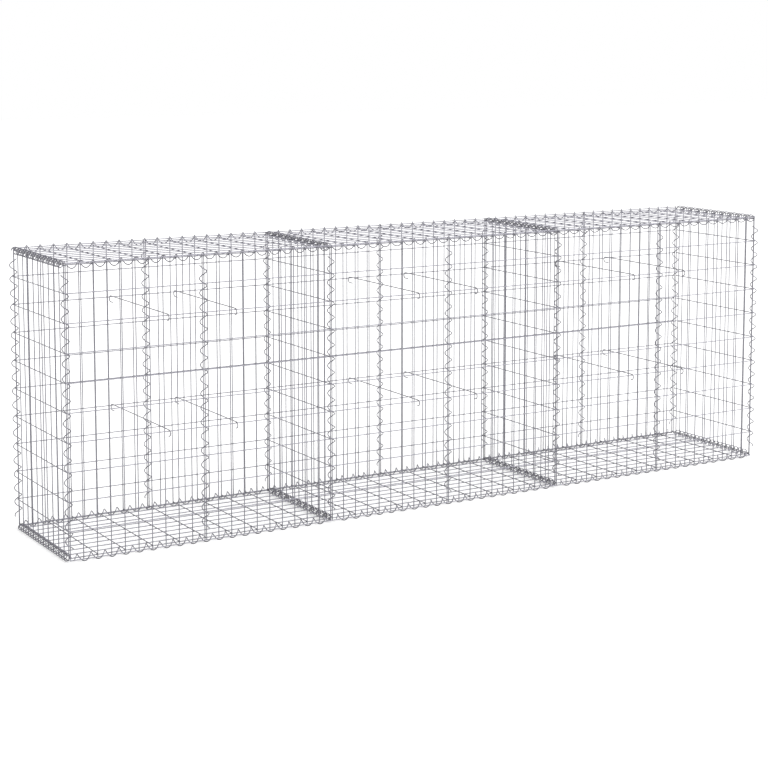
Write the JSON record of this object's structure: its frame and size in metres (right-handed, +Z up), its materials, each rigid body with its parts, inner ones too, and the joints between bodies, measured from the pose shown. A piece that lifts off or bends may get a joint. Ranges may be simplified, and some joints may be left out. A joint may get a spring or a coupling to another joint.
{
  "type": "gabion wall",
  "caption": "Empty gabion wall of welded wire baskets in a row of bays with floors, lids and shared partitions, laced with wire spirals and stayed by hooked ties.",
  "frame": {"origin": "on the ground under the middle of the wall", "axes": "+X along the wall to its right end as seen from the front, +Y from the front to the back, +Z up"},
  "size_m": [3.0294, 0.5322, 1.0171],
  "materials": {
    "panel_wire": "dull galvanised wire",
    "spiral_wire": "dull galvanised wire",
    "tie_wire": "dull galvanised wire"
  },
  "bodies": {
    "root": {"front_panel_1_left": "panel_wire", "front_panel_1_right": "panel_wire", "front_panel_2_left": "panel_wire", "front_panel_2_right": "panel_wire", "front_panel_3_left": "panel_wire", "front_panel_3_right": "panel_wire", "back_panel_1_left": "panel_wire", "back_panel_1_right": "panel_wire", "back_panel_2_left": "panel_wire", "back_panel_2_right": "panel_wire", "back_panel_3_left": "panel_wire", "back_panel_3_right": "panel_wire", "left_end_panel": "panel_wire", "right_end_panel": "panel_wire", "partition_panel_1": "panel_wire", "partition_panel_2": "panel_wire", "floor_panel_1": "panel_wire", "floor_panel_2": "panel_wire", "floor_panel_3": "panel_wire", "lid_panel_1": "panel_wire", "lid_panel_2": "panel_wire", "lid_panel_3": "panel_wire", "post_spirals_1": "spiral_wire", "post_spirals_2": "spiral_wire", "post_spirals_3": "spiral_wire", "post_spirals_4": "spiral_wire", "post_spirals_5": "spiral_wire", "post_spirals_6": "spiral_wire", "post_spirals_7": "spiral_wire", "floor_spirals_1": "spiral_wire", "floor_spirals_2": "spiral_wire", "floor_spirals_3": "spiral_wire", "lid_spirals_1": "spiral_wire", "lid_spirals_2": "spiral_wire", "lid_spirals_3": "spiral_wire", "cross_spirals_1": "spiral_wire", "cross_spirals_2": "spiral_wire", "cross_spirals_3": "spiral_wire", "cross_spirals_4": "spiral_wire", "ties_1": "tie_wire", "ties_2": "tie_wire", "ties_3": "tie_wire"}
  },
  "joints": []
}
